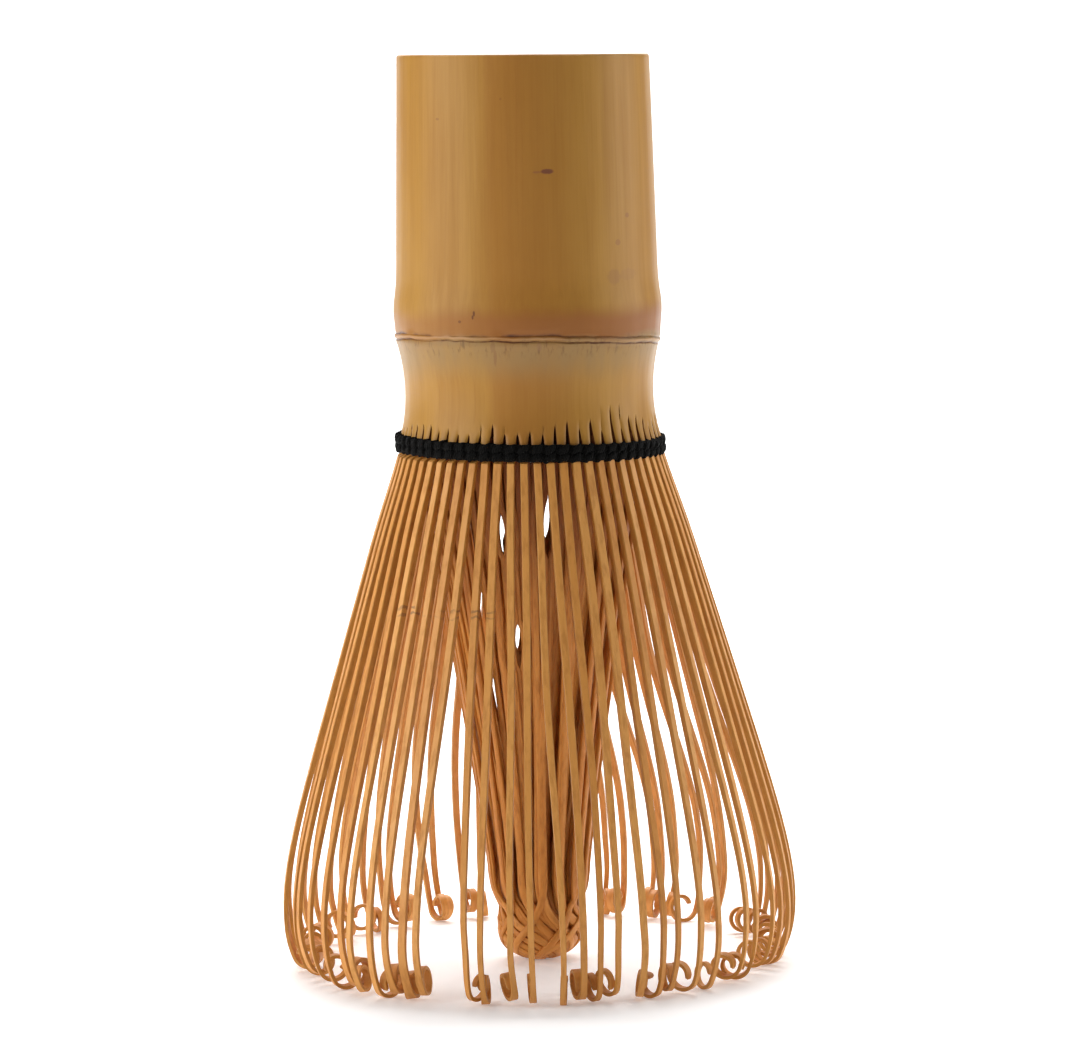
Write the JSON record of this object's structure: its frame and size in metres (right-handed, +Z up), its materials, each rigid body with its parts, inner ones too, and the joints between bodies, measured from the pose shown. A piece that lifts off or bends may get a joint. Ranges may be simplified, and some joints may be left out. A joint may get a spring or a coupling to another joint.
{
  "type": "bamboo tea whisk",
  "caption": "Bamboo tea whisk with a hollow culm grip, a waisted collar bound in black thread, flared outer tines with curled tips and a gathered inner core.",
  "frame": {"origin": "centre of the circle of tine tips, on the surface that the whisk stands on", "axes": "+Z up along the grip's axis, towards its open end; the thread's knot is towards +Y, and -Y is the front"},
  "size_m": [0.0583, 0.0583, 0.103],
  "materials": {
    "bamboo_skin": "satin",
    "bamboo_node": "satin",
    "bamboo_collar": "satin",
    "tine_outer": "matte",
    "tine_inner": "matte",
    "thread": "matte"
  },
  "bodies": {
    "whisk": {"upper_internode": "bamboo_skin", "node_septum": "bamboo_node", "lower_internode": "bamboo_collar", "thread_row_upper": "thread", "thread_row_lower": "thread", "thread_knot": "thread", "inner_tines_01": "tine_inner", "inner_tines_02": "tine_inner", "inner_tines_03": "tine_inner", "inner_tines_04": "tine_inner", "inner_tines_05": "tine_inner", "inner_tines_06": "tine_inner", "inner_tines_07": "tine_inner", "inner_tines_08": "tine_inner", "inner_tines_09": "tine_inner", "inner_tines_10": "tine_inner", "inner_tines_11": "tine_inner", "inner_tines_12": "tine_inner", "inner_tines_13": "tine_inner", "inner_tines_14": "tine_inner", "inner_tines_15": "tine_inner", "inner_tines_16": "tine_inner"},
    "tines_01": {"outer_tines_01": "tine_outer"},
    "tines_02": {"outer_tines_02": "tine_outer"},
    "tines_03": {"outer_tines_03": "tine_outer"},
    "tines_04": {"outer_tines_04": "tine_outer"},
    "tines_05": {"outer_tines_05": "tine_outer"},
    "tines_06": {"outer_tines_06": "tine_outer"},
    "tines_07": {"outer_tines_07": "tine_outer"},
    "tines_08": {"outer_tines_08": "tine_outer"},
    "tines_09": {"outer_tines_09": "tine_outer"},
    "tines_10": {"outer_tines_10": "tine_outer"},
    "tines_11": {"outer_tines_11": "tine_outer"},
    "tines_12": {"outer_tines_12": "tine_outer"},
    "tines_13": {"outer_tines_13": "tine_outer"},
    "tines_14": {"outer_tines_14": "tine_outer"},
    "tines_15": {"outer_tines_15": "tine_outer"},
    "tines_16": {"outer_tines_16": "tine_outer"}
  },
  "joints": [
    {"name": "flex_01", "type": "hinge", "parent": "whisk", "child": "tines_01", "pos_m": [0.01442, 0.00287, 0.05805], "axis": [0.1951, -0.9808, 0], "range_deg": [-4, 6], "stiffness_Nm_per_rad": 0.012},
    {"name": "flex_02", "type": "hinge", "parent": "whisk", "child": "tines_02", "pos_m": [0.01222, 0.00817, 0.05805], "axis": [0.5556, -0.8315, 0], "range_deg": [-4, 6], "stiffness_Nm_per_rad": 0.012},
    {"name": "flex_03", "type": "hinge", "parent": "whisk", "child": "tines_03", "pos_m": [0.00817, 0.01222, 0.05805], "axis": [0.8315, -0.5556, 0], "range_deg": [-4, 6], "stiffness_Nm_per_rad": 0.012},
    {"name": "flex_04", "type": "hinge", "parent": "whisk", "child": "tines_04", "pos_m": [0.00287, 0.01442, 0.05805], "axis": [0.9808, -0.1951, 0], "range_deg": [-4, 6], "stiffness_Nm_per_rad": 0.012},
    {"name": "flex_05", "type": "hinge", "parent": "whisk", "child": "tines_05", "pos_m": [-0.00287, 0.01442, 0.05805], "axis": [0.9808, 0.1951, 0], "range_deg": [-4, 6], "stiffness_Nm_per_rad": 0.012},
    {"name": "flex_06", "type": "hinge", "parent": "whisk", "child": "tines_06", "pos_m": [-0.00817, 0.01222, 0.05805], "axis": [0.8315, 0.5556, 0], "range_deg": [-4, 6], "stiffness_Nm_per_rad": 0.012},
    {"name": "flex_07", "type": "hinge", "parent": "whisk", "child": "tines_07", "pos_m": [-0.01222, 0.00817, 0.05805], "axis": [0.5556, 0.8315, 0], "range_deg": [-4, 6], "stiffness_Nm_per_rad": 0.012},
    {"name": "flex_08", "type": "hinge", "parent": "whisk", "child": "tines_08", "pos_m": [-0.01442, 0.00287, 0.05805], "axis": [0.1951, 0.9808, 0], "range_deg": [-4, 6], "stiffness_Nm_per_rad": 0.012},
    {"name": "flex_09", "type": "hinge", "parent": "whisk", "child": "tines_09", "pos_m": [-0.01442, -0.00287, 0.05805], "axis": [-0.1951, 0.9808, 0], "range_deg": [-4, 6], "stiffness_Nm_per_rad": 0.012},
    {"name": "flex_10", "type": "hinge", "parent": "whisk", "child": "tines_10", "pos_m": [-0.01222, -0.00817, 0.05805], "axis": [-0.5556, 0.8315, 0], "range_deg": [-4, 6], "stiffness_Nm_per_rad": 0.012},
    {"name": "flex_11", "type": "hinge", "parent": "whisk", "child": "tines_11", "pos_m": [-0.00817, -0.01222, 0.05805], "axis": [-0.8315, 0.5556, 0], "range_deg": [-4, 6], "stiffness_Nm_per_rad": 0.012},
    {"name": "flex_12", "type": "hinge", "parent": "whisk", "child": "tines_12", "pos_m": [-0.00287, -0.01442, 0.05805], "axis": [-0.9808, 0.1951, 0], "range_deg": [-4, 6], "stiffness_Nm_per_rad": 0.012},
    {"name": "flex_13", "type": "hinge", "parent": "whisk", "child": "tines_13", "pos_m": [0.00287, -0.01442, 0.05805], "axis": [-0.9808, -0.1951, 0], "range_deg": [-4, 6], "stiffness_Nm_per_rad": 0.012},
    {"name": "flex_14", "type": "hinge", "parent": "whisk", "child": "tines_14", "pos_m": [0.00817, -0.01222, 0.05805], "axis": [-0.8315, -0.5556, 0], "range_deg": [-4, 6], "stiffness_Nm_per_rad": 0.012},
    {"name": "flex_15", "type": "hinge", "parent": "whisk", "child": "tines_15", "pos_m": [0.01222, -0.00817, 0.05805], "axis": [-0.5556, -0.8315, 0], "range_deg": [-4, 6], "stiffness_Nm_per_rad": 0.012},
    {"name": "flex_16", "type": "hinge", "parent": "whisk", "child": "tines_16", "pos_m": [0.01442, -0.00287, 0.05805], "axis": [-0.1951, -0.9808, 0], "range_deg": [-4, 6], "stiffness_Nm_per_rad": 0.012}
  ]
}
